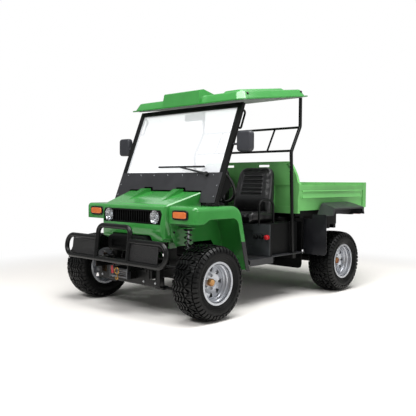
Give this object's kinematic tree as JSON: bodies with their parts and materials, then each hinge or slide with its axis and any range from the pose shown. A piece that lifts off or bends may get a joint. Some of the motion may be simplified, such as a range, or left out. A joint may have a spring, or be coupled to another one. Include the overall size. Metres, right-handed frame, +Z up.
{
  "type": "electric utility vehicle",
  "caption": "Open-cab electric utility vehicle with bucket seats, roof, windscreen, tubular front bar, winch, steered front wheels and a tipping cargo bed with drop gate.",
  "frame": {"origin": "on the ground under the middle of the vehicle's overall box", "axes": "+X forward, +Y to the vehicle's left, +Z up"},
  "size_m": [2.955, 1.654, 1.9353],
  "materials": {
    "green_plastic": "moulded, gloss",
    "green_paint": "gloss paint",
    "black_paint": "satin powder coat",
    "black_plastic": "grained",
    "grey_plastic": "grained",
    "pale_liner": "smooth",
    "seat_cover": "grained cover",
    "tyre": "tread rubber",
    "silver_wheel": "silver",
    "steel": "bare",
    "cast": "painted casting",
    "clear_lamp": "clear lens",
    "orange_lamp": "lens",
    "red_lamp": "lens",
    "screen_glass": "clear",
    "battery_case": "moulded"
  },
  "bodies": {
    "chassis": {"chassis_frame": "black_paint", "frame_cross_bars": "black_paint", "rear_subframe": "black_paint", "drawbar": "black_paint", "front_skid_plate": "black_paint", "front_suspension_arms": "black_paint", "front_shocks": "steel", "steering_rack_housing": "cast", "rear_axle": "cast", "rear_shocks": "steel", "floor_pan": "grey_plastic", "seat_base": "grey_plastic", "battery_pack": "battery_case", "bonnet": "green_plastic", "front_fender_left": "green_plastic", "front_fender_right": "green_plastic", "grille": "black_plastic", "headlamps": "clear_lamp", "turn_lamps": "orange_lamp", "front_bumper": "black_plastic", "bull_bar": "black_paint", "bull_bar_mesh": "black_paint", "winch": "steel", "windscreen_frame": "black_paint", "windscreen_panel": "black_plastic", "windscreen_glass": "screen_glass", "wiper": "black_plastic", "grab_handles": "black_plastic", "side_mirrors": "black_plastic", "cabin_mirror": "black_plastic", "roof": "green_plastic", "roof_liner": "pale_liner", "rear_guard": "black_paint", "dashboard": "black_plastic", "steering_column": "black_plastic", "pedals": "black_paint", "control_knobs": "black_plastic", "driver_seat": "seat_cover", "passenger_seat": "seat_cover", "hip_hoops": "black_paint", "splash_panel": "black_plastic", "mudguard_left": "black_plastic", "mudguard_right": "black_plastic", "tail_lamps": "red_lamp"},
    "left_knuckle": {"front_knuckle_left": "cast"},
    "right_knuckle": {"front_knuckle_right": "cast"},
    "steering_rack": {"tie_rods": "steel"},
    "hand_wheel": {"steering_wheel": "black_plastic"},
    "bed": {"bed_tub": "green_paint", "bed_frame": "black_paint"},
    "gate": {"tailgate": "green_paint"},
    "front_left_wheel": {"tyre_front_left": "tyre", "rim_front_left": "silver_wheel"},
    "front_right_wheel": {"tyre_front_right": "tyre", "rim_front_right": "silver_wheel"},
    "rear_left_wheel": {"tyre_rear_left": "tyre", "rim_rear_left": "silver_wheel"},
    "rear_right_wheel": {"tyre_rear_right": "tyre", "rim_rear_right": "silver_wheel"}
  },
  "joints": [
    {"name": "steer_left", "type": "hinge", "parent": "chassis", "child": "left_knuckle", "pos_m": [1.0625, 0.6005, 0.292], "axis": [0, 0, 1], "range_deg": [-28, 28]},
    {"name": "steer_right", "type": "hinge", "parent": "chassis", "child": "right_knuckle", "pos_m": [1.0625, -0.6005, 0.292], "axis": [0, 0, 1], "range_deg": [-28, 28]},
    {"name": "rack_slide", "type": "slide", "parent": "chassis", "child": "steering_rack", "axis": [0, 1, 0], "range_m": [-0.058, 0.058]},
    {"name": "hand_wheel_turn", "type": "hinge", "parent": "chassis", "child": "hand_wheel", "pos_m": [0.4995, 0.275, 1.035], "axis": [-0.848, 0, 0.5299], "range_deg": [-340, 340]},
    {"name": "front_left_spin", "type": "hinge", "parent": "left_knuckle", "child": "front_left_wheel", "pos_m": [1.0625, 0.6925, 0.292], "axis": [0, 1, 0], "continuous": true},
    {"name": "front_right_spin", "type": "hinge", "parent": "right_knuckle", "child": "front_right_wheel", "pos_m": [1.0625, -0.6925, 0.292], "axis": [0, 1, 0], "continuous": true},
    {"name": "rear_left_spin", "type": "hinge", "parent": "chassis", "child": "rear_left_wheel", "pos_m": [-0.7625, 0.6925, 0.292], "axis": [0, 1, 0], "continuous": true},
    {"name": "rear_right_spin", "type": "hinge", "parent": "chassis", "child": "rear_right_wheel", "pos_m": [-0.7625, -0.6925, 0.292], "axis": [0, 1, 0], "continuous": true},
    {"name": "bed_tip", "type": "hinge", "parent": "chassis", "child": "bed", "pos_m": [-1.3025, 0, 0.69], "axis": [0, -1, 0], "range_deg": [0, 45]},
    {"name": "gate_drop", "type": "hinge", "parent": "bed", "child": "gate", "pos_m": [-1.4625, 0, 0.781], "axis": [0, -1, 0], "range_deg": [0, 90]}
  ],
  "couplings": [
    {"joint": "steer_right", "follows": "steer_left", "ratio": 1},
    {"joint": "rack_slide", "follows": "steer_left", "m_per_rad": -0.11528},
    {"joint": "hand_wheel_turn", "follows": "steer_left", "ratio": 12}
  ]
}
